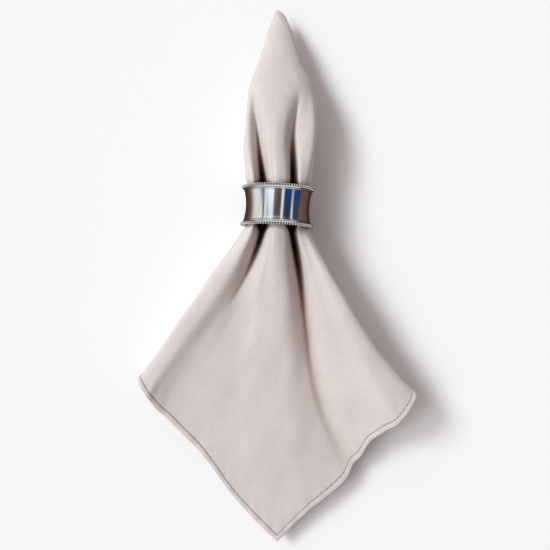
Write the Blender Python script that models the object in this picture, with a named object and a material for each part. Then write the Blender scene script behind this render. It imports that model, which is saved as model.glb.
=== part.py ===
"""A linen napkin drawn through a beaded silver napkin ring, lying on a table.

The napkin is one square of hemmed linen. One corner is the tip, at +Y. The sheet is rolled
round into a spear, is gathered through the ring, and fans out below it to the opposite corner,
at -Y. Both side corners are turned under as flaps that lie on the table.

Sizes are in millimetres, and places are in the table's frame: X right, Y towards the tip, Z up.
"""
import math
from collections import namedtuple

import bmesh
import bpy
from mathutils import Matrix, Vector

METRE = 0.001

# Napkin: a square of linen with its tip corner at TIP.
SIDE = 254.0
SHEET = 1.1
TIP = Vector((0.0, 170.0, 12.0))

# Ring: a waisted band between two beaded rims, its axis level and nearly along Y.
RIM_RADIUS = 22.85
BEAD_RADIUS = 0.95
RIM_SPACING = 23.0
WAIST_RADIUS = 19.9
BAND_END_RADIUS = 21.0
BAND_END = 10.2
WALL = 0.8
FOOT = 0.12
RING_AXIS = Vector((0.3, 42.0, RIM_RADIUS - FOOT))
RING_TURN = math.radians(-2.5)

# Lengths of cloth from the tip to the places where a section is given.
TIP_FAN = 8.0
CONE = 18.0
NECK = 36.0
CHEST = 56.0
BELLY = 87.0
UPPER_MOUTH = 121.0
WAIST = 132.5
LOWER_MOUTH = 144.0

# The tip corner lies open, turned a little to the right, with both its edges drooping.
TIP_TURN = 11.0
TIP_OPENING = 0.78
TIP_CROWN = 2.6
TIP_DROOP = 2.0

# Below the tip the sheet lies in oval rolls: place along Y, centre across and up, two radii, and
# the angle in the corner that goes to a quarter of the oval.
CONE_ROLL = (154.0, (1.8, 15.5), (7.8, 5.5), 40.0)
NECK_ROLL = (135.0, (2.0, 21.0), (13.0, 6.2), 26.0)
CHEST_ROLL = (115.0, (2.8, 24.2), (20.3, 10.3), 26.0)
BELLY_Y = 86.0

# The section opens towards the ring's mouths, and below the lower one the folds turn outwards.
# Within about CORNER_EASE degrees of the diagonal, heights don't follow the hem's corner.
# SINK makes the cloth drop steeper near the ring than near the hem.
FLARE = 0.0006
MOUTH_BEND = 0.022
CORNER_EASE = 3.0
SINK = 0.4

# A fold runs from the tip through the ring to the hem. angle is its place in the tip corner,
# in degrees from the napkin's diagonal. belly and ring are its place in those two sections,
# across and up, the ring's from the ring's axis. heading is its direction below the ring in
# degrees from -Y, and span the share of its length there that shows from above, for the cloth
# is a little slack. hem is its height at the hem. bow bends it sideways, most of all halfway.
# sway bends it sideways and lift bends it up, most of all a third of the way down.
Fold = namedtuple("Fold", "name angle belly ring heading span hem bow sway lift")
FOLDS = [
    Fold("left edge", -45.0, (-0.5, 3.0), (11.4, -13.9), -2, 0.96, 0.5, 0, 0, -4),
    Fold("left flap, inner", -38.0, (-10.0, 4.6), (0.0, -18.0), -11, 0.975, 0.5, 0, 0, -2),
    Fold("left flap, outer", -31.0, (-16.5, 10.0), (-11.6, -13.8), -20.5, 0.95, 0.5, 0, 0, -3),
    Fold("left turn", -26.0, (-19.4, 16.8), (-16.6, -7.0), -30.5, 0.93, 4, 0, 0, 2),
    Fold("left side", -22.5, (-20.3, 23.0), (-18.0, 1.0), -35.6, 0.925, 15.5, 0.3, 0, 6),
    Fold("left lobe", -19.6, (-18.3, 29.8), (-13.6, 11.6), -33.2, 0.942, 18, -0.5, 4, 2),
    Fold("left valley, outer wall", -18.1, (-15.6, 28.4), (-11.3, 4.5), -32.0, 0.944, 15.8, 3, 4.5, 3.5),
    Fold("left valley", -16.5, (-12.4, 22.5), (-9.0, -9.0), -30.3, 0.944, 13.8, 6, 1.5, 10.5),
    Fold("left valley, inner wall", -14.5, (-9.3, 28.4), (-5.8, 4.5), -27.0, 0.938, 12.5, 6.5, 0, 3),
    Fold("left shoulder", -10.2, (-5.6, 34.0), (-4.6, 14.4), -16.8, 0.931, 11, 3, 1, -1),
    Fold("crown, left", -5.0, (-3.0, 35.2), (-2.5, 16.7), -8, 0.952, 10, 0, 0, -1.5),
    Fold("crown", 0.0, (0.6, 35.8), (0.2, 17.7), 0, 0.95, 11, 0, 0, -1.5),
    Fold("right shoulder", 4.2, (4.9, 34.6), (5.6, 14.6), 5.2, 0.953, 12.5, -4, 1, -0.5),
    Fold("right valley, inner wall", 7.2, (7.6, 30.0), (6.6, 4.5), 12.9, 0.945, 13, -14, 7.9, 1.5),
    Fold("right valley", 9.2, (9.9, 25.0), (8.5, -9.0), 14.9, 0.938, 12.4, -14, 7.9, 5.5),
    Fold("right valley, outer wall", 11.1, (12.0, 29.4), (10.5, 4.5), 16.7, 0.944, 15.6, -10, 5.9, 3.5),
    Fold("right lobe, inner", 13.4, (14.5, 31.2), (11.7, 10.6), 19.3, 0.938, 20, -6.8, 3, 2.5),
    Fold("right dip", 15.7, (17.8, 31.9), (14.0, 10.1), 22.7, 0.945, 26, -4, 1, 3),
    Fold("right lobe, outer", 18.1, (22.9, 31.6), (16.3, 7.8), 26.6, 0.955, 33, -5, 1.5, 6),
    Fold("right side", 22.2, (26.2, 23.0), (18.1, 1.5), 33.2, 0.94, 32, -7, 2, 7.5),
    Fold("right turn", 25.6, (24.6, 17.0), (17.2, -4.6), 29, 0.95, 13, -3, 0, 3),
    Fold("right flap, outer", 30.3, (20.2, 12.0), (13.6, -8.8), 21, 0.99, 0.8, 0, 0, 0),
    Fold("right flap, inner", 37.6, (13.0, 10.0), (1.5, -14.6), 11.5, 1, 2.4, 0, 0, 0),
    Fold("right edge", 45.0, (3.0, 9.6), (-9.5, -11.0), 2, 0.97, 2.6, 0, 0, 0),
]
ANGLES = [fold.angle for fold in FOLDS]
CELLS_A_FOLD = 3

# Rows of the mesh: lengths of cloth down to the ring's lower mouth, then shares of what is left.
TIP_ROWS = [(5.0, 6), (10.0, 3)]
UPPER_ROWS = [16, 23, 30, 37, 45, 54, 63, 72, 81, 90, 100, 110, 117, 121, 126.5, 132.5, 138.5]
LOWER_ROWS = [0, 0.012, 0.03, 0.07, 0.13, 0.2, 0.27, 0.35, 0.43, 0.52, 0.61, 0.7, 0.79, 0.88, 0.95, 1.0]

LINEN = ("linen", (0.69, 0.62, 0.60), 0.0, 0.9)
SILVER = ("silver", (0.62, 0.61, 0.62), 1.0, 0.18)


def spline(knots, values, at):
    """A smooth curve through values at the knots (numbers or vectors)."""
    last = len(knots) - 1
    cell = 0
    while cell < last - 1 and at > knots[cell + 1]:
        cell += 1

    def slope(i):
        before, after = max(i - 1, 0), min(i + 1, last)
        return (values[after] - values[before]) / (knots[after] - knots[before])

    width = knots[cell + 1] - knots[cell]
    t = (at - knots[cell]) / width
    rise = values[cell + 1] - values[cell]
    enter, leave = slope(cell) * width, slope(cell + 1) * width
    return values[cell] + t * (enter + t * (3 * rise - 2 * enter - leave + t * (enter + leave - 2 * rise)))


def across(column, angle):
    """A column of the fold table, read between the folds."""
    return spline(ANGLES, [column(fold) for fold in FOLDS], angle)


def in_ring(offset_x, offset_z, down):
    """A place given from the ring's centre, with down measured along the ring's axis."""
    turned = Matrix.Rotation(RING_TURN, 3, "Z") @ Vector((offset_x, -down, 0))
    return RING_AXIS + turned + Vector((0, 0, offset_z))


def tip_section(angle):
    bearing = math.radians(TIP_TURN + TIP_OPENING * angle)
    crown = TIP_CROWN * math.cos(math.radians(TIP_DROOP * angle))
    return TIP + Vector((TIP_FAN * math.sin(bearing), -TIP_FAN * math.cos(bearing), crown))


def roll_section(angle, roll):
    y, centre, radii, quarter = roll
    turn = math.radians(90 * angle / quarter)
    return Vector((centre[0] + radii[0] * math.sin(turn), y, centre[1] + radii[1] * math.cos(turn)))


def belly_section(angle):
    return Vector((
        across(lambda fold: fold.belly[0], angle), BELLY_Y, across(lambda fold: fold.belly[1], angle)))


def ring_section(angle, length):
    """The gathered section in the ring, which opens a little towards both mouths."""
    down = length - WAIST
    flare = 1 + FLARE * down * down
    x = across(lambda fold: fold.ring[0], angle)
    z = across(lambda fold: fold.ring[1], angle)
    return in_ring(x * flare, z * flare, down)


def upper_point(angle, length):
    """A place on the cloth above the ring or in it."""
    if length >= UPPER_MOUTH:
        return ring_section(angle, length)
    knots = [0, TIP_FAN, CONE, NECK, CHEST, BELLY, UPPER_MOUTH, WAIST]
    sections = [TIP, tip_section(angle), roll_section(angle, CONE_ROLL), roll_section(angle, NECK_ROLL),
                roll_section(angle, CHEST_ROLL), belly_section(angle),
                ring_section(angle, UPPER_MOUTH), ring_section(angle, WAIST)]
    return spline(knots, sections, length)


def hem_length(angle):
    """The cloth from the tip to the hem, along a line at this angle in the square."""
    return SIDE / math.cos(math.radians(45 - abs(angle)))


def even_length(angle):
    """The length at which a fold has its hem height: near the hem, but without the hem's corner."""
    return hem_length(math.copysign(math.hypot(angle, CORNER_EASE), angle))


def lower_point(angle, share):
    """A place below the ring, share being 0 at the ring's lower mouth and 1 at the hem."""
    mouth = ring_section(angle, LOWER_MOUTH)
    heading = math.radians(across(lambda fold: fold.heading, angle))
    hem = across(lambda fold: fold.hem, angle)
    even = even_length(angle) - LOWER_MOUTH
    along = share * (hem_length(angle) - LOWER_MOUTH) / even
    run = across(lambda fold: fold.span, angle) * even
    sideways = run * (along - MOUTH_BEND * (1 - math.exp(-along / MOUTH_BEND)))
    early = 6.75 * along * (1 - along) ** 2
    bow = across(lambda fold: fold.bow, angle) * 4 * along * (1 - along)
    bow += across(lambda fold: fold.sway, angle) * early
    lift = across(lambda fold: fold.lift, angle) * early
    x = mouth.x + sideways * math.sin(heading) + bow * math.cos(heading)
    y = mouth.y - run * along * math.cos(heading) + bow * math.sin(heading)
    z = mouth.z + (hem - mouth.z) * along * (1 + SINK * (1 - along)) + lift
    return Vector((x, y, max(z, SHEET / 2)))


def mesh_angles():
    angles = []
    for left, right in zip(ANGLES, ANGLES[1:]):
        angles += [left + (right - left) * i / CELLS_A_FOLD for i in range(CELLS_A_FOLD)]
    return angles + [ANGLES[-1]]


def sheet_rows(mesh):
    """Rows of vertices from the tip to the hem, with fewer in the rows nearest the tip."""
    angles = mesh_angles()
    rows = [[mesh.verts.new(TIP)]]
    for length, step in TIP_ROWS:
        rows.append([mesh.verts.new(upper_point(angle, length)) for angle in angles[::step]])
    for length in UPPER_ROWS:
        rows.append([mesh.verts.new(upper_point(angle, length)) for angle in angles])
    for share in LOWER_ROWS:
        rows.append([mesh.verts.new(lower_point(angle, share)) for angle in angles])
    return rows


def join_rows(mesh, first, second):
    """Faces between two rows. The second may have several cells to each of the first."""
    if len(first) == 1:
        for left, right in zip(second, second[1:]):
            mesh.faces.new((first[0], left, right))
        return
    ratio = (len(second) - 1) // (len(first) - 1)
    for i in range(len(first) - 1):
        part = second[i * ratio:(i + 1) * ratio + 1]
        middle = ratio // 2
        for j in range(ratio):
            corner = first[i] if j < middle else first[i + 1]
            if ratio == 1 or j == middle:
                mesh.faces.new((first[i], part[j], part[j + 1], first[i + 1]))
            else:
                mesh.faces.new((corner, part[j], part[j + 1]))


def thicken(mesh, thickness):
    """Turn the open sheet into a closed one, half the thickness to each side of it."""
    mesh.normal_update()
    verts, faces = list(mesh.verts), list(mesh.faces)
    border = [edge for edge in mesh.edges if edge.is_boundary]
    under = {}
    for vert in verts:
        under[vert] = mesh.verts.new(vert.co - vert.normal * thickness / 2)
    for face in faces:
        mesh.faces.new([under[vert] for vert in reversed(face.verts)])
    for edge in border:
        start, end = edge.link_loops[0].vert, edge.link_loops[0].link_loop_next.vert
        mesh.faces.new((end, start, under[start], under[end]))
    for vert in verts:
        vert.co += vert.normal * thickness / 2


def settle(mesh):
    """Press what would dip below the table flat onto it."""
    for vert in mesh.verts:
        vert.co.z = max(vert.co.z, 0)


def napkin():
    mesh = bmesh.new()
    rows = sheet_rows(mesh)
    for first, second in zip(rows, rows[1:]):
        join_rows(mesh, first, second)
    thicken(mesh, SHEET)
    settle(mesh)
    return finish("napkin", mesh, LINEN)


def band_profile():
    """The band's wall as (down, radius): out along the inside, back along the outside."""
    steps = 6
    downs = [BAND_END * (2 * i / steps - 1) for i in range(steps + 1)]
    swell = (BAND_END_RADIUS - WAIST_RADIUS) / BAND_END ** 2
    inside = [(down, WAIST_RADIUS - WALL + swell * down * down) for down in downs]
    outside = [(down, WAIST_RADIUS + swell * down * down) for down in downs]
    return inside + outside[::-1]


def turned_ring(name, profile, segments):
    """A solid turned about the ring's axis from a closed profile of (down, radius)."""
    mesh = bmesh.new()
    loops = []
    for i in range(segments):
        turn = 2 * math.pi * i / segments
        loops.append([
            mesh.verts.new(in_ring(radius * math.sin(turn), radius * math.cos(turn), down))
            for down, radius in profile])
    for loop, following in zip(loops, loops[1:] + loops[:1]):
        for i in range(len(profile)):
            j = (i + 1) % len(profile)
            mesh.faces.new((loop[i], loop[j], following[j], following[i]))
    settle(mesh)
    bmesh.ops.recalc_face_normals(mesh, faces=mesh.faces)
    return finish(name, mesh, SILVER)


def rim(name, down):
    centre = RIM_RADIUS - BEAD_RADIUS
    around = [2 * math.pi * i / 8 for i in range(8)]
    profile = [(down + BEAD_RADIUS * math.sin(a), centre + BEAD_RADIUS * math.cos(a)) for a in around]
    return turned_ring(name, profile, 64)


def material(name, colour, metallic, roughness):
    made = bpy.data.materials.get(name) or bpy.data.materials.new(name)
    made.use_nodes = True
    shader = made.node_tree.nodes["Principled BSDF"]
    shader.inputs["Base Color"].default_value = (*colour, 1)
    shader.inputs["Metallic"].default_value = metallic
    shader.inputs["Roughness"].default_value = roughness
    return made


def finish(name, mesh, look):
    """Make an object, in metres, of a mesh in millimetres."""
    mesh.transform(Matrix.Scale(METRE, 4))
    data = bpy.data.meshes.new(name)
    mesh.to_mesh(data)
    mesh.free()
    for polygon in data.polygons:
        polygon.use_smooth = True
    data.materials.append(material(*look))
    made = bpy.data.objects.new(name, data)
    bpy.context.scene.collection.objects.link(made)
    return made


def centre_on_table(objects):
    """Move everything so that the middle of its box, seen from above, is the origin."""
    corners = [vert.co for made in objects for vert in made.data.vertices]
    middle = Vector([(min(c[i] for c in corners) + max(c[i] for c in corners)) / 2 for i in (0, 1)] + [0])
    for made in objects:
        made.data.transform(Matrix.Translation(-middle))


def main():
    for existing in list(bpy.data.objects):
        bpy.data.objects.remove(existing, do_unlink=True)
    centre_on_table([
        napkin(),
        turned_ring("ring_band", band_profile(), 64),
        rim("ring_rim_upper", -RIM_SPACING / 2),
        rim("ring_rim_lower", RIM_SPACING / 2),
    ])


main()
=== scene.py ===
"""Looks of a linen napkin drawn through a beaded silver ring.

The cloth repeats the solid's folds on a finer grid, with its hem, hem stitches and small creases.
The ring gets its turned steps and its beads. Sizes are in millimetres until a mesh is finished,
and places are in the table's frame: X right, Y towards the tip, Z up.
"""
import math
from collections import namedtuple

import bmesh
import bpy
import numpy as np
from mathutils import Matrix, Vector

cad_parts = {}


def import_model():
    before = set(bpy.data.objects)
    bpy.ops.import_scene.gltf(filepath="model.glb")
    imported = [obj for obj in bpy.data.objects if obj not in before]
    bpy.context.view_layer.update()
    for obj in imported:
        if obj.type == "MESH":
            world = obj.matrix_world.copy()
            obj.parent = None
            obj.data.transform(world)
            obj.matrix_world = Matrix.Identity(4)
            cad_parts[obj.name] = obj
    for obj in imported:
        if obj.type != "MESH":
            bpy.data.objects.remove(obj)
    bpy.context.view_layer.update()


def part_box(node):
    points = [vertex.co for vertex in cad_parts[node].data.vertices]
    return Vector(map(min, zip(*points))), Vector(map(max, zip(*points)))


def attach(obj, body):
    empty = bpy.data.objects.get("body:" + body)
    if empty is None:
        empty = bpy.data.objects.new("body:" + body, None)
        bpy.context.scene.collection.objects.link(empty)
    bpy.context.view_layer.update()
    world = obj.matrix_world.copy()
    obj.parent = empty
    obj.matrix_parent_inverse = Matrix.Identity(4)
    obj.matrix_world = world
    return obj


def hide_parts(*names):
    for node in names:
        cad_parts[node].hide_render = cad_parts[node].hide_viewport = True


METRE = 0.001

# Napkin: a square of linen. TIP is where its tip corner is before it is made blunt.
SIDE = 254.0
CLOTH_HALF = 0.42
HEM_HALF = 0.78
HEM_WIDTH = 3.3
TIP = np.array((0.0, 170.0, 12.0))

# Ring: a waisted band between two beaded rims, its axis level and nearly along Y.
RIM_RADIUS = 22.85
BEAD_RADIUS = 0.95
BEAD_WIDTH = 1.22
BEADS = 84
BEAD_WIRE = 0.50
# A bead is dark from this share of its half width outwards, and gets darker this fast.
BEAD_DARK_FROM = 0.55
BEAD_DARKER = 2.2
RIM_SPACING = 23.0
WAIST_RADIUS = 19.9
STEP_RADIUS = 21.1
STEP = 9.3
WALL = 0.8
BAND_STEPS = 144
FOOT = 0.12
RING_AXIS = np.array((0.3, 42.0, RIM_RADIUS - FOOT))
RING_TURN = math.radians(-2.5)

# Lengths of cloth from the tip to the places where a section is given.
TIP_FAN = 8.0
CONE = 18.0
NECK = 36.0
CHEST = 56.0
BELLY = 87.0
UPPER_MOUTH = 121.0
WAIST = 132.5
LOWER_MOUTH = 144.0

TIP_TURN = 11.0
TIP_OPENING = 0.78
TIP_CROWN = 2.6
TIP_DROOP = 2.0
# The tip is blunt, on the right most of all: the width that is added, its distance from the tip and
# its reach; the angle on the left where nothing is added; and the length that is added and its reach.
TIP_WIDER = (0.8, 4.0, 4.5)
TIP_LEAN = 20.0
TIP_FORWARD = (1.1, 6.0)

# Below the tip the sheet lies in oval rolls: place along Y, centre across and up, two radii, and
# the angle in the corner that goes to a quarter of the oval.
CONE_ROLL = (154.0, (1.8, 15.5), (7.8, 5.5), 40.0)
NECK_ROLL = (135.0, (2.0, 21.0), (13.0, 6.2), 26.0)
CHEST_ROLL = (115.0, (2.8, 24.2), (20.3, 10.3), 26.0)
BELLY_Y = 86.0
FLARE = 0.0006
MOUTH_BEND = 0.022
CORNER_EASE = 3.0
SINK = 0.4

# The folds: angle in the tip corner, place across and up in the belly and in the ring, heading
# below the ring in degrees, the share of its length that shows from above, height at the hem, how
# far it is bent sideways halfway and a third of the way, and how far up a third of the way. They
# are as in the part's source, but in the belly the right side lies 2.2 mm further in and the right
# turn 1.4 mm.
Fold = namedtuple("Fold", "name angle belly ring heading span hem bow sway lift")
FOLDS = [
    Fold("left edge", -45.0, (-0.5, 3.0), (11.4, -13.9), -2, 0.96, 0.5, 0, 0, -4),
    Fold("left flap, inner", -38.0, (-10.0, 4.6), (0.0, -18.0), -11, 0.975, 0.5, 0, 0, -2),
    Fold("left flap, outer", -31.0, (-16.5, 10.0), (-11.6, -13.8), -20.5, 0.95, 0.5, 0, 0, -3),
    Fold("left turn", -26.0, (-19.4, 16.8), (-16.6, -7.0), -30.5, 0.93, 4, 0, 0, 2),
    Fold("left side", -22.5, (-20.3, 23.0), (-18.0, 1.0), -35.6, 0.925, 15.5, 0.3, 0, 6),
    Fold("left lobe", -19.6, (-18.3, 29.8), (-13.6, 11.6), -33.2, 0.942, 18, -0.5, 4, 2),
    Fold("left valley, outer wall", -18.1, (-15.6, 28.4), (-11.3, 4.5), -32.0, 0.944, 15.8, 3, 4.5, 3.5),
    Fold("left valley", -16.5, (-12.4, 22.5), (-9.0, -9.0), -30.3, 0.944, 13.8, 6, 1.5, 10.5),
    Fold("left valley, inner wall", -14.5, (-9.3, 28.4), (-5.8, 4.5), -27.0, 0.938, 12.5, 6.5, 0, 3),
    Fold("left shoulder", -10.2, (-5.6, 34.0), (-4.6, 14.4), -16.8, 0.931, 11, 3, 1, -1),
    Fold("crown, left", -5.0, (-3.0, 35.2), (-2.5, 16.7), -8, 0.952, 10, 0, 0, -1.5),
    Fold("crown", 0.0, (0.6, 35.8), (0.2, 17.7), 0, 0.95, 11, 0, 0, -1.5),
    Fold("right shoulder", 4.2, (4.9, 34.6), (5.6, 14.6), 5.2, 0.953, 12.5, -4, 1, -0.5),
    Fold("right valley, inner wall", 7.2, (7.6, 30.0), (6.6, 4.5), 12.9, 0.945, 13, -14, 7.9, 1.5),
    Fold("right valley", 9.2, (9.9, 25.0), (8.5, -9.0), 14.9, 0.938, 12.4, -14, 7.9, 5.5),
    Fold("right valley, outer wall", 11.1, (12.0, 29.4), (10.5, 4.5), 16.7, 0.944, 15.6, -10, 5.9, 3.5),
    Fold("right lobe, inner", 13.4, (14.5, 31.2), (11.7, 10.6), 19.3, 0.938, 20, -6.8, 3, 2.5),
    Fold("right dip", 15.7, (17.8, 31.9), (14.0, 10.1), 22.7, 0.945, 26, -4, 1, 3),
    Fold("right lobe, outer", 18.1, (22.9, 31.6), (16.3, 7.8), 26.6, 0.955, 33, -5, 1.5, 6),
    Fold("right side", 22.2, (24.0, 23.0), (18.1, 1.5), 33.2, 0.94, 32, -7, 2, 7.5),
    Fold("right turn", 25.6, (23.2, 17.0), (17.2, -4.6), 29, 0.95, 13, -3, 0, 3),
    Fold("right flap, outer", 30.3, (20.2, 12.0), (13.6, -8.8), 21, 0.99, 0.8, 0, 0, 0),
    Fold("right flap, inner", 37.6, (13.0, 10.0), (1.5, -14.6), 11.5, 1, 2.4, 0, 0, 0),
    Fold("right edge", 45.0, (3.0, 9.6), (-9.5, -11.0), 2, 0.97, 2.6, 0, 0, 0),
]
ANGLES = [fold.angle for fold in FOLDS]

# The hem across: distance from the cloth's edge, and half the thickness there.
HEM_SECTION = [
    (0.0, 0.34), (0.25, 0.60), (0.6, 0.74), (1.1, HEM_HALF), (2.3, HEM_HALF), (2.8, 0.70),
    (3.1, 0.52), (3.3, 0.30), (3.55, 0.36), (4.1, CLOTH_HALF), (5.0, CLOTH_HALF),
]
# Up to PLAIN_TIP from the tip corner the edge is plain, and the hem comes in over the next HEM_IN.
PLAIN_TIP = 42.0
HEM_IN = 14.0
GRID_CELL = 1.32

# Crests at each side of the two valleys, as angles, and the depths where the painted shade in the
# cloth's colour begins and is full.
VALLEY_CRESTS = [(-19.6, -8.5), (1.5, 13.8)]
RECESS_FROM = 4.0
RECESS_FULL = 18.5

# Slow unevenness of the hand-placed cloth: wavelength, bearing in the cloth in degrees, height.
UNEVENNESS = [(61.0, 20.0, 0.30), (43.0, 75.0, 0.22), (34.0, 130.0, 0.16), (23.0, 165.0, 0.08)]
# The cloth is uneven only past OPEN_FROM of the waist, and fully so OPEN_OVER further on. It is even
# at the tip too, over TIP_EASE.
OPEN_FROM = 13.0
OPEN_OVER = 30.0
TIP_EASE = 40.0
# Ripple along the hem: wavelength, height, and how far it reaches in from the edge.
HEM_RIPPLE = (13.0, 0.22, 6.0)
# Gathers by the ring: period in degrees, height, distance from the waist and reach.
GATHERS = (2.6, 0.09, 16.0, 13.0)
# Where the cloth dips under the rims: distance from the waist, reach and depth.
PINCH = (11.5, 2.8, 1.8)
# Painted shade where the cloth dips under the upper rim: its place along the cloth, reach and strength.
PAINTED_MOUTH_SHADE = (121.0, 4.0, 0.74)

STITCH_PITCH = 3.0
STITCH_LENGTH = 2.1
STITCH_RADIUS = 0.19
STITCH_RISE = 0.34

# Camera: straight above, as far up as the photograph's perspective asks.
PHOTO_SIDE = 550
PIXEL = 0.63
CAMERA_HEIGHT = 385.0
CAMERA_OFFSET = (-1.26, -0.63)

# Light from the left, most of it from the upper left: direction towards it, strength, width in
# degrees and colour.
Lamp = namedtuple("Lamp", "name towards strength width colour")
LAMPS = [
    Lamp("window", (-1.0, 0.57, 0.98), 1.90, 19.0, (0.93, 1.01, 1.02)),
    Lamp("side window", (-1.0, 0.03, 1.19), 0.84, 26.0, (0.95, 1.01, 1.03)),
    Lamp("room on the left", (-1.0, -0.49, 1.33), 0.33, 40.0, (1.02, 1.0, 0.98)),
    Lamp("low sky", (-1.0, 1.73, 1.46), 0.27, 40.0, (0.95, 1.0, 1.03)),
]
FILL_STRENGTH = 0.275
FILL_COLOUR = (1.15, 0.95, 0.92)

# What the silver sees round its axis, from the angle start on: degrees from straight up, to the
# right. Each card has a colour towards the tip, which the band's hemward half sees, and another
# towards the hem.
Card = namedtuple("Card", "name start tipward hemward")
CARDS = [
    Card("brown left", -180, (0.125, 0.052, 0.038), (0.125, 0.050, 0.036)),
    Card("rosy edge", -124, (0.33, 0.28, 0.27), (0.26, 0.24, 0.25)),
    Card("pale window", -106, (0.62, 0.62, 0.58), (0.80, 0.92, 1.00)),
    Card("window's near side", -88, (0.74, 0.72, 0.67), (0.74, 0.80, 0.86)),
    Card("teal gap", -65, (0.80, 0.80, 0.76), (0.19, 0.26, 0.33)),
    Card("teal line", -56, (0.16, 0.18, 0.18), (0.15, 0.20, 0.25)),
    Card("screen's edge", -48, (0.84, 0.87, 0.88), (0.60, 0.68, 0.74)),
    Card("white screen", -42, (0.48, 0.52, 0.56), (0.86, 0.90, 0.94)),
    Card("screen's bright side", -32, (0.74, 0.82, 0.92), (0.98, 0.99, 1.00)),
    Card("mauve gap", -14, (0.115, 0.095, 0.105), (0.170, 0.135, 0.150)),
    Card("dark core", -3, (0.075, 0.062, 0.068), (0.110, 0.078, 0.085)),
    Card("white slot", 13, (0.84, 0.86, 0.88), (0.90, 0.84, 0.82)),
    Card("blue near", 21, (0.022, 0.030, 0.070), (0.018, 0.050, 0.175)),
    Card("white line", 50, (0.72, 0.76, 0.80), (0.30, 0.42, 0.60)),
    Card("blue far", 57, (0.045, 0.045, 0.085), (0.010, 0.045, 0.185)),
    Card("dusky blue", 82, (0.13, 0.095, 0.090), (0.028, 0.040, 0.130)),
    Card("brown right", 92, (0.17, 0.125, 0.105), (0.125, 0.060, 0.040)),
]
FLOOR_HALF = 4.0
FLOOR_COLOUR = (0.94, 0.94, 0.95, 1)
# Painted reflection: the floor's colours as only the silver sees them, from left to right over this many
# metres.
FLOOR_SPAN = 0.6
FLOOR_BROWNS = [
    (0.00, (0.55, 0.54, 0.52)),
    (0.20, (0.30, 0.26, 0.25)),
    (0.30, (0.17, 0.125, 0.115)),
    (0.40, (0.085, 0.038, 0.028)),
    (0.46, (0.028, 0.009, 0.006)),
    (0.54, (0.075, 0.033, 0.022)),
    (0.62, (0.100, 0.055, 0.045)),
]
# The cards' two colours blend over this span of a direction's tipward part, with 0 at its middle.
CARD_BLEND = 0.7
# Past this much tipward or hemward the silver sees white, which comes in this fast: it makes the
# beads' bright spots.
WHITE_ENDS = 0.47
WHITER = 8.0


class Wire:
    """A shader socket that takes part in sums."""

    def __init__(self, graph, socket):
        self.graph = graph
        self.socket = socket

    def maths(self, operation, *values):
        return self.graph.add("ShaderNodeMath", {"operation": operation}, dict(enumerate(values)))

    def __add__(self, other):
        return self.maths("ADD", self, other)

    def __sub__(self, other):
        return self.maths("SUBTRACT", self, other)

    def __rsub__(self, other):
        return self.maths("SUBTRACT", other, self)

    def __mul__(self, other):
        return self.maths("MULTIPLY", self, other)

    def __truediv__(self, other):
        return self.maths("DIVIDE", self, other)

    __radd__ = __add__

    def clamp(self):
        return self.graph.add("ShaderNodeClamp", None, {0: self})

    def output(self, index):
        """Another output of the same node."""
        return Wire(self.graph, self.socket.node.outputs[index])


class Graph:
    """The nodes of one material or world."""

    def __init__(self, owner):
        owner.use_nodes = True
        self.tree = owner.node_tree

    def add(self, kind, settings=None, inputs=None, output=0):
        """Make a node: its settings first, then the values or wires of its sockets."""
        node = self.tree.nodes.new(kind)
        for name, value in (settings or {}).items():
            setattr(node, name, value)
        for name, value in (inputs or {}).items():
            self.plug(value, node.inputs[name])
        return Wire(self, node.outputs[output])

    def plug(self, value, socket):
        if isinstance(value, Wire):
            self.tree.links.new(value.socket, socket)
        else:
            socket.default_value = value

    def node(self, kind):
        return next(node for node in self.tree.nodes if node.bl_idname == kind)

    def ramp(self, factor, stops):
        """A colour ramp with its stops as (position, colour)."""
        wire = self.add("ShaderNodeValToRGB", None, {"Fac": factor})
        ramp = wire.socket.node.color_ramp
        for i, (position, colour) in enumerate(stops):
            element = ramp.elements[i] if i < 2 else ramp.elements.new(position)
            element.position = position
            element.color = (*colour, 1)
        return wire

    def mix(self, factor, first, second):
        """Two colours mixed."""
        return self.add("ShaderNodeMix", {"data_type": "RGBA"}, {0: factor, 6: first, 7: second}, 2)

    def vector(self, x, y):
        return self.add("ShaderNodeCombineXYZ", None, {0: x, 1: y})

    def noise(self, vector, scale, detail=2.0):
        settings = {"noise_dimensions": "3D"}
        return self.add("ShaderNodeTexNoise", settings, {"Vector": vector, "Scale": scale, "Detail": detail})


def surface(name, roughness, metallic=0.0, **constants):
    """A material with its Principled shader, and values that are the same all over it."""
    material = bpy.data.materials.new(name)
    graph = Graph(material)
    shader = graph.node("ShaderNodeBsdfPrincipled")
    shader.inputs["Roughness"].default_value = roughness
    shader.inputs["Metallic"].default_value = metallic
    for socket, value in constants.items():
        shader.inputs[socket.replace("_", " ")].default_value = value
    return material, graph, shader


# Materials

THREAD_PITCH = 0.55
# Lengths of a slub and of a cloudy patch, in millimetres.
SLUB = 6.0
CLOUD = 24.0
# Share of each in the cloth's shade, and how the shade picks between dark and light linen.
SLUB_SHARE = 0.28
CLOUD_SHARE = 0.20
GRAIN_SHARE = 0.24
SHADE_FROM = 0.36
SHADE_CONTRAST = 3.4
# How strong the painted shade line in the hem's turned groove is.
HEM_GROOVE_SHADE = 0.68
LINEN_LIGHT = (0.704, 0.643, 0.624, 1)
LINEN_DARK = (0.578, 0.5205, 0.499, 1)
# Colour of the painted shade line in the hem's turned groove.
HEM_GROOVE_SHADE_COLOUR = (0.115, 0.080, 0.066, 1)
# Painted shade: what a valley's depth leaves of the cloth's colour.
PAINTED_VALLEY_SHADES = [
    (0.0, (1.0, 1.0, 1.0)),
    (0.2, (0.955, 0.925, 0.905)),
    (0.5, (0.66, 0.51, 0.45)),
    (1.0, (0.025, 0.012, 0.010)),
]
THREAD_COLOUR = (0.70, 0.62, 0.58, 1)
SILVER_BRIGHT = (0.90, 0.89, 0.88, 1)
SILVER_DARK = (0.045, 0.038, 0.034, 1)


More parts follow.
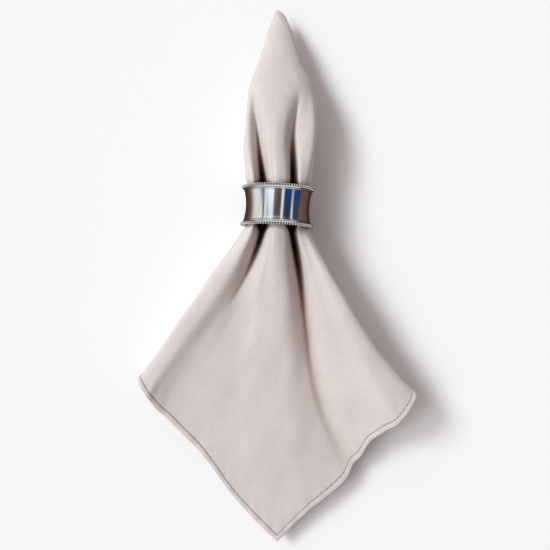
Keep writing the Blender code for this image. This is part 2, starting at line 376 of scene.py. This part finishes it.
def weave_height(p, q):
    """Plain weave, 0 between the threads and 1 on the top of one, from places in thread pitches."""
    warp = p.maths("COSINE", p * math.pi)
    weft = q.maths("COSINE", q * math.pi)
    over = warp * weft * 0.5 + 0.5
    return p.maths("MAXIMUM", warp.maths("ABSOLUTE", warp) * over, weft.maths("ABSOLUTE", weft) * (1 - over))


def linen():
    """Dyed linen: plain weave with thick and thin threads, and a painted shade line where the hem is turned.

    Painted shade darkens it to brown down in the valleys and under the upper rim, by an attribute."""
    material, graph, shader = surface(
        "linen", 0.9, Specular_IOR_Level=0.2, Sheen_Weight=0.12, Sheen_Roughness=0.45)
    parts = graph.add("ShaderNodeSeparateXYZ", None, {0: graph.add("ShaderNodeUVMap", {"uv_map": "flat"})})
    p, q = parts * SIDE, parts.output(1) * SIDE
    warp_slub = graph.noise(graph.vector(p / THREAD_PITCH, q / SLUB), 0.9)
    weft_slub = graph.noise(graph.vector(p / SLUB, q / THREAD_PITCH), 0.9)
    cloudy = graph.noise(graph.vector(p / CLOUD, q / CLOUD), 1.0, 3.0)
    grain = graph.noise(graph.vector(p / THREAD_PITCH, q / THREAD_PITCH), 1.3, 0.0)
    slubs = warp_slub * SLUB_SHARE + weft_slub * SLUB_SHARE
    shade = slubs + cloudy * CLOUD_SHARE + grain * GRAIN_SHARE
    cloth = graph.mix(((shade - SHADE_FROM) * SHADE_CONTRAST).clamp(), LINEN_DARK, LINEN_LIGHT)
    edge = p.maths("MINIMUM", p.maths("MINIMUM", p, SIDE - p), p.maths("MINIMUM", q, SIDE - q))
    off_line = edge.maths("ABSOLUTE", edge - HEM_WIDTH)
    from_tip = p.maths("SQRT", p * p + q * q)
    hemmed = ((from_tip - PLAIN_TIP) / HEM_IN).clamp()
    # Painted shade: a dark line along the groove where the hem is turned.
    line = (1.2 - off_line / 0.5).clamp() * hemmed
    lined = graph.mix(line * HEM_GROOVE_SHADE, cloth, HEM_GROOVE_SHADE_COLOUR)
    # Painted shade: the cloth's colour is darkened to brown down in the valleys and under the upper rim.
    down = graph.add("ShaderNodeAttribute", {"attribute_name": "painted_shade"}, None, 2)
    valley = {0: 1.0, 6: lined, 7: graph.ramp(down, PAINTED_VALLEY_SHADES)}
    shaded = graph.add("ShaderNodeMix", {"data_type": "RGBA", "blend_type": "MULTIPLY"}, valley, 2)
    graph.plug(shaded, shader.inputs["Base Color"])
    graph.plug(0.84 + cloudy * 0.12, shader.inputs["Roughness"])
    ribs = p.maths("SINE", (p - q) * 4.4) * (1 - edge.maths("MINIMUM", edge / HEM_WIDTH, 1.0)) * hemmed
    weave = weave_height(p / THREAD_PITCH, q / THREAD_PITCH)
    height = weave * 0.6 + (warp_slub + weft_slub) * 0.6 + ribs * 0.5
    bump = graph.add("ShaderNodeBump", None, {"Strength": 0.4, "Distance": 0.0002, "Height": height})
    graph.plug(bump, shader.inputs["Normal"])
    return material


def hem_thread():
    """Matt sewing thread of uneven shade."""
    material, graph, shader = surface("hem_thread", 0.75, Specular_IOR_Level=0.3)
    place = graph.add("ShaderNodeTexCoord", output=3)
    fibre = graph.noise(place, 1500.0)
    graph.plug(graph.mix(fibre, THREAD_COLOUR, (0.50, 0.42, 0.39, 1)), shader.inputs["Base Color"])
    return material


def silver():
    """Polished silver, dark in the recesses that the tarnish attribute marks, with a slight haze."""
    material, graph, shader = surface("silver", 0.12, 1.0)
    tarnish = graph.add("ShaderNodeAttribute", {"attribute_name": "tarnish"}, None, 2)
    place = graph.add("ShaderNodeTexCoord", output=3)
    haze = graph.noise(place, 160.0, 4.0)
    patch = graph.noise(place, 60.0, 2.0)
    dark = tarnish * (0.75 + patch * 0.35)
    graph.plug(graph.mix(dark, SILVER_BRIGHT, SILVER_DARK), shader.inputs["Base Color"])
    graph.plug(0.05 + haze * 0.10 + tarnish * 0.35, shader.inputs["Roughness"])
    bump = graph.add("ShaderNodeBump", None, {"Strength": 0.05, "Distance": 0.0003, "Height": patch})
    graph.plug(bump, shader.inputs["Normal"])
    return material


# The cloth's form

def spline(knots, values, at):
    """A smooth curve through values at the knots, as in the part's source, for an array of places.

    Where values has more than one dimension, its second runs along with the places."""
    knots, values = np.asarray(knots, float), np.asarray(values, float)
    own = values.ndim > 1
    last = len(knots) - 1
    before = np.maximum(np.arange(last + 1) - 1, 0)
    after = np.minimum(np.arange(last + 1) + 1, last)
    gap = knots[after] - knots[before]
    slopes = (values[after] - values[before]) / (gap[:, None, None] if own else gap)
    cell = np.clip(np.searchsorted(knots, at) - 1, 0, last - 1)
    width = knots[cell + 1] - knots[cell]
    t = (at - knots[cell]) / width
    if own:
        each = np.arange(len(at))
        low, high = values[cell, each], values[cell + 1, each]
        enter, leave = slopes[cell, each], slopes[cell + 1, each]
        width, t = width[:, None], t[:, None]
    else:
        low, high, enter, leave = values[cell], values[cell + 1], slopes[cell], slopes[cell + 1]
    rise, enter, leave = high - low, enter * width, leave * width
    return low + t * (enter + t * (3 * rise - 2 * enter - leave + t * (enter + leave - 2 * rise)))


def across(column, angle):
    """A column of the fold table, read between the folds."""
    return spline(ANGLES, [column(fold) for fold in FOLDS], angle)


def places(x, y, z):
    return np.stack(np.broadcast_arrays(x, y, z), axis=-1).astype(float)


def in_ring(offset_x, offset_z, down):
    """Places given from the ring's centre, with down measured along the ring's axis."""
    cos, sin = math.cos(RING_TURN), math.sin(RING_TURN)
    return RING_AXIS + places(offset_x * cos + down * sin, offset_x * sin - down * cos, offset_z)


def tip_section(angle):
    bearing = np.radians(TIP_TURN + TIP_OPENING * angle)
    crown = TIP_CROWN * np.cos(np.radians(TIP_DROOP * angle))
    return TIP + places(TIP_FAN * np.sin(bearing), -TIP_FAN * np.cos(bearing), crown)


def roll_section(angle, roll):
    y, centre, radii, quarter = roll
    turn = np.radians(90 * angle / quarter)
    return places(centre[0] + radii[0] * np.sin(turn), y, centre[1] + radii[1] * np.cos(turn))


def belly_section(angle):
    x = across(lambda fold: fold.belly[0], angle)
    return places(x, BELLY_Y, across(lambda fold: fold.belly[1], angle))


def ring_section(angle, length):
    """The gathered section in the ring, which opens a little towards both mouths."""
    down = length - WAIST
    flare = 1 + FLARE * down * down
    x = across(lambda fold: fold.ring[0], angle)
    z = across(lambda fold: fold.ring[1], angle)
    return in_ring(x * flare, z * flare, down)


def blunt_tip(angle, length):
    """What the blunt tip adds to the pointed one."""
    width, middle, reach = TIP_WIDER
    wider = width * (angle + TIP_LEAN) / 45 * np.exp(-((length - middle) / reach) ** 2)
    ahead, reach = TIP_FORWARD
    return places(wider * np.minimum(length, 1), ahead * np.exp(-(length / reach) ** 2), 0)


def spear(angle, length):
    """The cloth from its tip to the ring."""
    knots = [0, TIP_FAN, CONE, NECK, CHEST, BELLY, UPPER_MOUTH, WAIST]
    sections = [np.broadcast_to(TIP, (len(angle), 3)), tip_section(angle), roll_section(angle, CONE_ROLL),
                roll_section(angle, NECK_ROLL), roll_section(angle, CHEST_ROLL), belly_section(angle),
                ring_section(angle, UPPER_MOUTH), ring_section(angle, WAIST)]
    return spline(knots, sections, np.minimum(length, WAIST)) + blunt_tip(angle, length)


def hem_length(angle):
    """The cloth from the tip to the hem, along a line at this angle in the square."""
    return SIDE / np.cos(np.radians(45 - np.abs(angle)))


def even_length(angle):
    """The length at which a fold has its hem height: near the hem, but without the hem's corner."""
    return hem_length(np.hypot(angle, CORNER_EASE))


def fan(angle, length):
    """The cloth below the ring."""
    mouth = ring_section(angle, LOWER_MOUTH)
    heading = np.radians(across(lambda fold: fold.heading, angle))
    hem = across(lambda fold: fold.hem, angle)
    even = even_length(angle) - LOWER_MOUTH
    along = np.maximum(length - LOWER_MOUTH, 0) / even
    run = across(lambda fold: fold.span, angle) * even
    sideways = run * (along - MOUTH_BEND * (1 - np.exp(-along / MOUTH_BEND)))
    early = 6.75 * along * (1 - along) ** 2
    bow = across(lambda fold: fold.bow, angle) * 4 * along * (1 - along)
    bow = bow + across(lambda fold: fold.sway, angle) * early
    lift = across(lambda fold: fold.lift, angle) * early
    return places(
        mouth[:, 0] + sideways * np.sin(heading) + bow * np.cos(heading),
        mouth[:, 1] - run * along * np.cos(heading) + bow * np.sin(heading),
        mouth[:, 2] + (hem - mouth[:, 2]) * along * (1 + SINK * (1 - along)) + lift)


def smooth_cloth(p, q):
    """Where places in the flat cloth lie. p and q are the distances from its two upper edges."""
    angle = np.degrees(np.arctan2(p, q)) - 45
    length = np.hypot(p, q)
    in_band = (length >= UPPER_MOUTH)[:, None]
    below = (length > LOWER_MOUTH)[:, None]
    upper = np.where(in_band, ring_section(angle, length), spear(angle, length))
    return np.where(below, fan(angle, length), upper)


def edge_distance(p, q):
    return np.minimum(np.minimum(p, SIDE - p), np.minimum(q, SIDE - q))


def half_thickness(p, q):
    distances, halves = zip(*HEM_SECTION)
    edge = edge_distance(p, q)
    plain = np.interp(edge, (0.0, 0.25, 0.7), (0.22, 0.34, CLOTH_HALF))
    share = np.clip((np.hypot(p, q) - PLAIN_TIP) / HEM_IN, 0, 1)
    return plain + (np.interp(edge, distances, halves) - plain) * share


def painted_shade(p, q):
    """Painted shade for a place: how far it lies down in a valley, with more under the upper rim, from 0 on
    the crests to 1.
    """
    angle = np.degrees(np.arctan2(p, q)) - 45
    length = np.hypot(p, q)
    down = np.zeros_like(length)
    height = smooth_cloth(p, q)[:, 2]
    for left, right in VALLEY_CRESTS:
        share = (angle - left) / (right - left)
        inside = (share > 0) & (share < 1) & (length > NECK)
        crests = [smooth_cloth(length * np.sin(np.radians(45 + a)), length * np.cos(np.radians(45 + a)))
                  for a in (left, right)]
        level = crests[0][:, 2] * (1 - share) + crests[1][:, 2] * share
        down = np.where(inside, level - height, down)
    # Painted shade under the upper rim.
    dip, reach, strength = PAINTED_MOUTH_SHADE
    dipped = strength * np.exp(-((length - dip) / reach) ** 2)
    return np.clip((down - RECESS_FROM) / (RECESS_FULL - RECESS_FROM) + dipped, 0, 1)


def creases(p, q):
    """Small forms that lie on the main folds, as heights along the cloth's normal."""
    height = np.zeros_like(p)
    for wavelength, bearing, size in UNEVENNESS:
        turn = math.radians(bearing)
        height += size * np.sin(2 * math.pi * (p * math.cos(turn) + q * math.sin(turn)) / wavelength)
    angle = np.degrees(np.arctan2(p, q)) - 45
    length = np.hypot(p, q)
    from_waist = np.abs(length - WAIST)
    open_cloth = np.clip((from_waist - OPEN_FROM) / OPEN_OVER, 0, 1) * np.clip(length / TIP_EASE, 0, 1)
    period, size, middle, reach = GATHERS
    gathered = size * np.exp(-((from_waist - middle) / reach) ** 2) * np.sin(2 * math.pi * angle / period)
    middle, reach, depth = PINCH
    pinched = depth * np.exp(-((from_waist - middle) / reach) ** 2)
    wave, ripple, reach = HEM_RIPPLE
    near_hem = ripple * np.exp(-edge_distance(p, q) / reach) * open_cloth
    rippled = near_hem * np.sin(2 * math.pi * (p - q) / wave + np.sin(p / 19))
    return height * open_cloth - pinched + gathered + rippled


def cloth(p, q):
    """Places on the middle of the finished cloth, and its outward normals."""
    p, q = np.asarray(p, float), np.asarray(q, float)
    reach = 0.25
    step_p = np.where(p > SIDE / 2, -reach, reach)
    step_q = np.where(q > SIDE / 2, -reach, reach)
    base = smooth_cloth(p, q)
    along_p = (smooth_cloth(p + step_p, q) - base) / step_p[:, None]
    along_q = (smooth_cloth(p, q + step_q) - base) / step_q[:, None]
    normal = np.cross(along_q, along_p)
    normal /= np.linalg.norm(normal, axis=1)[:, None]
    made = base + normal * creases(p, q)[:, None]
    made[:, 2] = np.maximum(made[:, 2], half_thickness(p, q))
    return made, normal


# Pieces

def finish_piece(name, mesh, material, shift):
    """Make an object, in metres and in the frame's place, of a mesh in millimetres."""
    mesh.transform(Matrix.Scale(METRE, 4) @ Matrix.Translation(shift))
    data = bpy.data.meshes.new(name)
    mesh.to_mesh(data)
    mesh.free()
    data.shade_smooth()
    data.materials.append(material)
    piece = bpy.data.objects.new(name, data)
    bpy.context.scene.collection.objects.link(piece)
    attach(piece, "root")
    return piece


def grid_lines():
    """Lines of the cloth's grid along one side: close over both hems, even between them."""
    hem = [distance for distance, half in HEM_SECTION]
    count = round((SIDE - 2 * hem[-1]) / GRID_CELL)
    middle = np.linspace(hem[-1], SIDE - hem[-1], count + 1)
    return np.concatenate((hem[:-1], middle, [SIDE - d for d in reversed(hem[:-1])]))


def napkin(material, shift):
    """The sheet on a square grid, given its thickness, which is more over the hem."""
    lines = grid_lines()
    cells = len(lines) - 1
    mesh = bmesh.new()
    bmesh.ops.create_grid(mesh, x_segments=cells, y_segments=cells, size=0.5)
    column = [round((vert.co.x + 0.5) * cells) for vert in mesh.verts]
    row = [round((vert.co.y + 0.5) * cells) for vert in mesh.verts]
    p, q = lines[column], lines[row]
    for vert, place in zip(mesh.verts, cloth(p, q)[0]):
        vert.co = place
    # Painted shade for the cloth's colour, in the valleys and under the upper rim.
    shade = mesh.verts.layers.float.new("painted_shade")
    for vert, amount in zip(mesh.verts, painted_shade(p, q)):
        vert[shade] = amount
    flat = mesh.loops.layers.uv.new("flat")
    for face in mesh.faces:
        for loop in face.loops:
            loop[flat].uv = (p[loop.vert.index] / SIDE, q[loop.vert.index] / SIDE)
    bmesh.ops.reverse_faces(mesh, faces=mesh.faces)
    piece = finish_piece("napkin_cloth", mesh, material, shift)
    weights = piece.vertex_groups.new(name="thickness")
    for index, half in enumerate(half_thickness(p, q)):
        weights.add([index], half / HEM_HALF, "REPLACE")
    shell = piece.modifiers.new("thickness", "SOLIDIFY")
    shell.thickness = 2 * HEM_HALF * METRE
    shell.offset = 0
    shell.vertex_group = "thickness"
    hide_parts("napkin")
    return piece


def ball(around, up):
    """A small mesh of radius 1 to make copies of."""
    mesh = bmesh.new()
    bmesh.ops.create_uvsphere(mesh, u_segments=around, v_segments=up, radius=1)
    data = bpy.data.meshes.new("ball")
    mesh.to_mesh(data)
    mesh.free()
    return data


def add_copy(mesh, small, matrix):
    placed = small.copy()
    placed.transform(matrix)
    mesh.from_mesh(placed)
    bpy.data.meshes.remove(placed)


def hem_places():
    """Middles of the stitches as places in the flat cloth, with the direction of each."""
    count = int((SIDE - 2 * HEM_WIDTH) / STITCH_PITCH)
    runs = HEM_WIDTH + (np.arange(count) + 0.5) * (SIDE - 2 * HEM_WIDTH) / count
    low, high = np.full(count, HEM_WIDTH), np.full(count, SIDE - HEM_WIDTH)
    p = np.concatenate((runs, runs, low, high))
    q = np.concatenate((low, high, runs, runs))
    heading = np.repeat(((1, 0), (0, 1)), 2 * count, axis=0)
    sewn = np.hypot(p, q) > PLAIN_TIP + HEM_IN
    return p[sewn], q[sewn], heading[sewn]


def hem_stitches(material, shift):
    """Running stitches in the hem's turned line, on both faces of the cloth."""
    p, q, heading = hem_places()
    middle, normal = cloth(p, q)
    ahead = cloth(p + heading[:, 0] * 0.5, q + heading[:, 1] * 0.5)[0] - middle
    mesh = bmesh.new()
    small = ball(8, 5)
    for place, up, along in zip(middle, normal, ahead):
        up = Vector(up)
        along = Vector(along).normalized()
        side = up.cross(along).normalized()
        shape = Matrix((along * STITCH_LENGTH / 2, side * STITCH_RADIUS, up * STITCH_RADIUS)).transposed()
        for face in (1, -1):
            centre = Vector(place) + up * face * STITCH_RISE + along * (face - 1) * STITCH_PITCH / 4
            add_copy(mesh, small, Matrix.Translation(centre) @ shape.to_4x4())
    settle(mesh)
    return finish_piece("hem_stitches", mesh, material, shift)


def settle(mesh):
    """Press what would dip below the table flat onto it."""
    for vert in mesh.verts:
        vert.co.z = max(vert.co.z, 0)


BandPoint = namedtuple("BandPoint", "down radius tarnish")


def band_outside():
    """Half of the band's outside, from its waist to its end, with the turned steps near the end."""
    swell = (STEP_RADIUS - WAIST_RADIUS) / STEP ** 2
    waist = [BandPoint(STEP * i / 9, WAIST_RADIUS + swell * (STEP * i / 9) ** 2, 0.0) for i in range(9)]
    return waist + [
        BandPoint(9.0, 21.02, 0.15),
        BandPoint(9.25, 21.02, 0.9),
        BandPoint(9.4, 21.22, 0.5),
        BandPoint(9.6, 21.38, 0.0),
        BandPoint(9.85, 21.36, 0.1),
        BandPoint(10.0, 21.22, 0.95),
        BandPoint(10.3, 21.30, 0.3),
        BandPoint(10.7, 21.62, 0.2),
        BandPoint(10.95, 21.78, 0.8),
        BandPoint(11.2, 21.60, 0.8),
    ]


def band_profile():
    """The band's wall as a closed outline."""
    half = band_outside()
    outside = [point._replace(down=-point.down) for point in reversed(half[1:])] + half
    inside = [BandPoint(point.down, point.radius - WALL, 0.35) for point in reversed(outside)]
    return outside + inside


def ring_band(material, shift):
    """The band, spun from its profile."""
    mesh = bmesh.new()
    profile = band_profile()
    layer = mesh.verts.layers.float.new("tarnish")
    verts = []
    for point in profile:
        vert = mesh.verts.new(Vector(in_ring(0.0, point.radius, point.down)))
        vert[layer] = point.tarnish
        verts.append(vert)
    edges = [mesh.edges.new(pair) for pair in zip(verts, verts[1:] + verts[:1])]
    axis = Matrix.Rotation(RING_TURN, 3, "Z") @ Vector((0, 1, 0))
    bmesh.ops.spin(mesh, geom=verts + edges, cent=Vector(RING_AXIS), axis=axis, angle=2 * math.pi,
                   steps=BAND_STEPS, use_merge=True)
    bmesh.ops.remove_doubles(mesh, verts=mesh.verts, dist=0.001)
    bmesh.ops.recalc_face_normals(mesh, faces=mesh.faces)
    settle(mesh)
    piece = finish_piece("silver_band", mesh, material, shift)
    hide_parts("ring_band")
    return piece


def bead_wire(mesh, down, centre):
    """The wire that carries the beads, spun round the ring's axis."""
    sides = 8
    verts = []
    for i in range(sides):
        turn = 2 * math.pi * i / sides
        place = in_ring(0.0, centre + BEAD_WIRE * math.cos(turn), down + BEAD_WIRE * math.sin(turn))
        verts.append(mesh.verts.new(Vector(place)))
    edges = [mesh.edges.new(pair) for pair in zip(verts, verts[1:] + verts[:1])]
    axis = Matrix.Rotation(RING_TURN, 3, "Z") @ Vector((0, 1, 0))
    bmesh.ops.spin(mesh, geom=verts + edges, cent=Vector(RING_AXIS), axis=axis, angle=2 * math.pi,
                   steps=2 * BEADS, use_merge=True)
    bmesh.ops.recalc_face_normals(mesh, faces=mesh.faces)


def bead_rim(name, node, down, material, shift):
    """A row of beads on a thin wire round one end of the band."""
    mesh = bmesh.new()
    centre = RIM_RADIUS - BEAD_RADIUS
    bead_wire(mesh, down, centre)
    layer = mesh.verts.layers.float.new("tarnish")
    for vert in mesh.verts:
        vert[layer] = 1.0
    wires = len(mesh.verts)
    small = ball(12, 8)
    shape = Matrix.Diagonal((BEAD_WIDTH / 2, BEAD_RADIUS, BEAD_RADIUS, 1))
    turned = Matrix.Rotation(RING_TURN, 4, "Z")
    for i in range(BEADS):
        turn = 2 * math.pi * i / BEADS
        place = Vector(in_ring(centre * math.sin(turn), centre * math.cos(turn), down))
        add_copy(mesh, small, Matrix.Translation(place) @ turned @ Matrix.Rotation(turn, 4, "Y") @ shape)
    small_verts = len(small.vertices)
    for index, vert in enumerate(mesh.verts):
        if index >= wires:
            across_bead = abs(small.vertices[(index - wires) % small_verts].co.x)
            vert[layer] = min(1.0, max(0.0, (across_bead - BEAD_DARK_FROM) * BEAD_DARKER))
    settle(mesh)
    piece = finish_piece(name, mesh, material, shift)
    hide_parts(node)
    return piece


# Stage

def floor():
    """A plain pale floor. Only in the silver is it brown by the ring and paler far to the left, as a painted
    reflection.
    """
    mesh = bmesh.new()
    bmesh.ops.create_grid(mesh, x_segments=1, y_segments=1, size=FLOOR_HALF)
    data = bpy.data.meshes.new("floor")
    mesh.to_mesh(data)
    mesh.free()
    made = bpy.data.objects.new("floor", data)
    bpy.context.scene.collection.objects.link(made)
    material, graph, shader = surface("floor", 0.9)
    shader.inputs["Base Color"].default_value = FLOOR_COLOUR
    # Painted reflection: rays that the silver reflects see a brown floor instead of the pale one.
    in_silver = graph.add("ShaderNodeLightPath", output=3)
    place = graph.add("ShaderNodeSeparateXYZ", None, {0: graph.add("ShaderNodeTexCoord", output=3)})
    browns = graph.ramp((place / FLOOR_SPAN + 0.5).clamp(), FLOOR_BROWNS)
    dim = graph.add("ShaderNodeBsdfPrincipled", None, {"Base Color": browns, "Roughness": 0.9})
    pale = Wire(graph, shader.outputs[0])
    mixed = graph.add("ShaderNodeMixShader", None, {0: in_silver, 1: pale, 2: dim})
    graph.plug(mixed, graph.node("ShaderNodeOutputMaterial").inputs[0])
    data.materials.append(material)


def card_ramp(graph, turn, colours, soften=2.0):
    stops = []
    for before, after, card in zip(colours, colours[1:], CARDS[1:]):
        stops.append(((card.start - soften + 180) / 360, before))
        stops.append(((card.start + soften + 180) / 360, after))
    return graph.ramp(turn, stops)


def room():
    """Even dim light from all round. The silver sees cards in its place, in strips along its axis."""
    world = bpy.data.worlds.new("studio")
    bpy.context.scene.world = world
    graph = Graph(world)
    direction = graph.add("ShaderNodeSeparateXYZ", None, {0: graph.add("ShaderNodeTexCoord", output=0)})
    tipward, up = direction.output(1), direction.output(2)
    turn = direction.maths("ARCTAN2", direction, up) / (2 * math.pi) + 0.5
    share = (tipward / CARD_BLEND + 0.5).clamp()
    strips = graph.mix(share, card_ramp(graph, turn, [card.hemward for card in CARDS]),
                       card_ramp(graph, turn, [card.tipward for card in CARDS]))
    far = ((tipward.maths("ABSOLUTE", tipward) - WHITE_ENDS) * WHITER).clamp()
    cards = graph.add("ShaderNodeBackground", None, {"Color": graph.mix(far, strips, (1.0, 1.0, 1.0, 1))})
    fill = graph.add("ShaderNodeBackground", None, {"Color": (*FILL_COLOUR, 1), "Strength": FILL_STRENGTH})
    in_silver = graph.add("ShaderNodeLightPath", output=3)
    mixed = graph.add("ShaderNodeMixShader", None, {0: in_silver, 1: fill, 2: cards})
    graph.plug(mixed, graph.node("ShaderNodeOutputWorld").inputs[0])


def light(lamp):
    """A wide distant lamp. The silver sees the cards in its place."""
    data = bpy.data.lights.new(lamp.name, "SUN")
    data.energy = lamp.strength
    data.angle = math.radians(lamp.width)
    data.color = lamp.colour
    made = bpy.data.objects.new(lamp.name, data)
    made.rotation_euler = Vector(lamp.towards).to_track_quat("Z", "Y").to_euler()
    made.visible_glossy = False
    bpy.context.scene.collection.objects.link(made)


def camera(shift):
    data = bpy.data.cameras.new("camera")
    data.angle = 2 * math.atan(PHOTO_SIDE * PIXEL / 2 / CAMERA_HEIGHT)
    made = bpy.data.objects.new("camera", data)
    place = Vector((*CAMERA_OFFSET, RING_AXIS[2] + CAMERA_HEIGHT)) + shift
    made.location = place * METRE
    bpy.context.scene.collection.objects.link(made)
    bpy.context.scene.camera = made


def main():
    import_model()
    low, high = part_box("ring_band")
    shift = (Vector(low) + Vector(high)) / 2 / METRE - Vector(RING_AXIS)
    shift.z = 0
    cloth_look, thread_look, silver_look = linen(), hem_thread(), silver()
    sheet = napkin(cloth_look, shift)
    stitches = hem_stitches(thread_look, shift)
    ring_band(silver_look, shift)
    bead_rim("beads_upper", "ring_rim_upper", -RIM_SPACING / 2, silver_look, shift)
    bead_rim("beads_lower", "ring_rim_lower", RIM_SPACING / 2, silver_look, shift)
    floor()
    room()
    for lamp in LAMPS:
        light(lamp)
    camera(shift)
    bpy.context.scene.view_settings.view_transform = "Standard"


main()
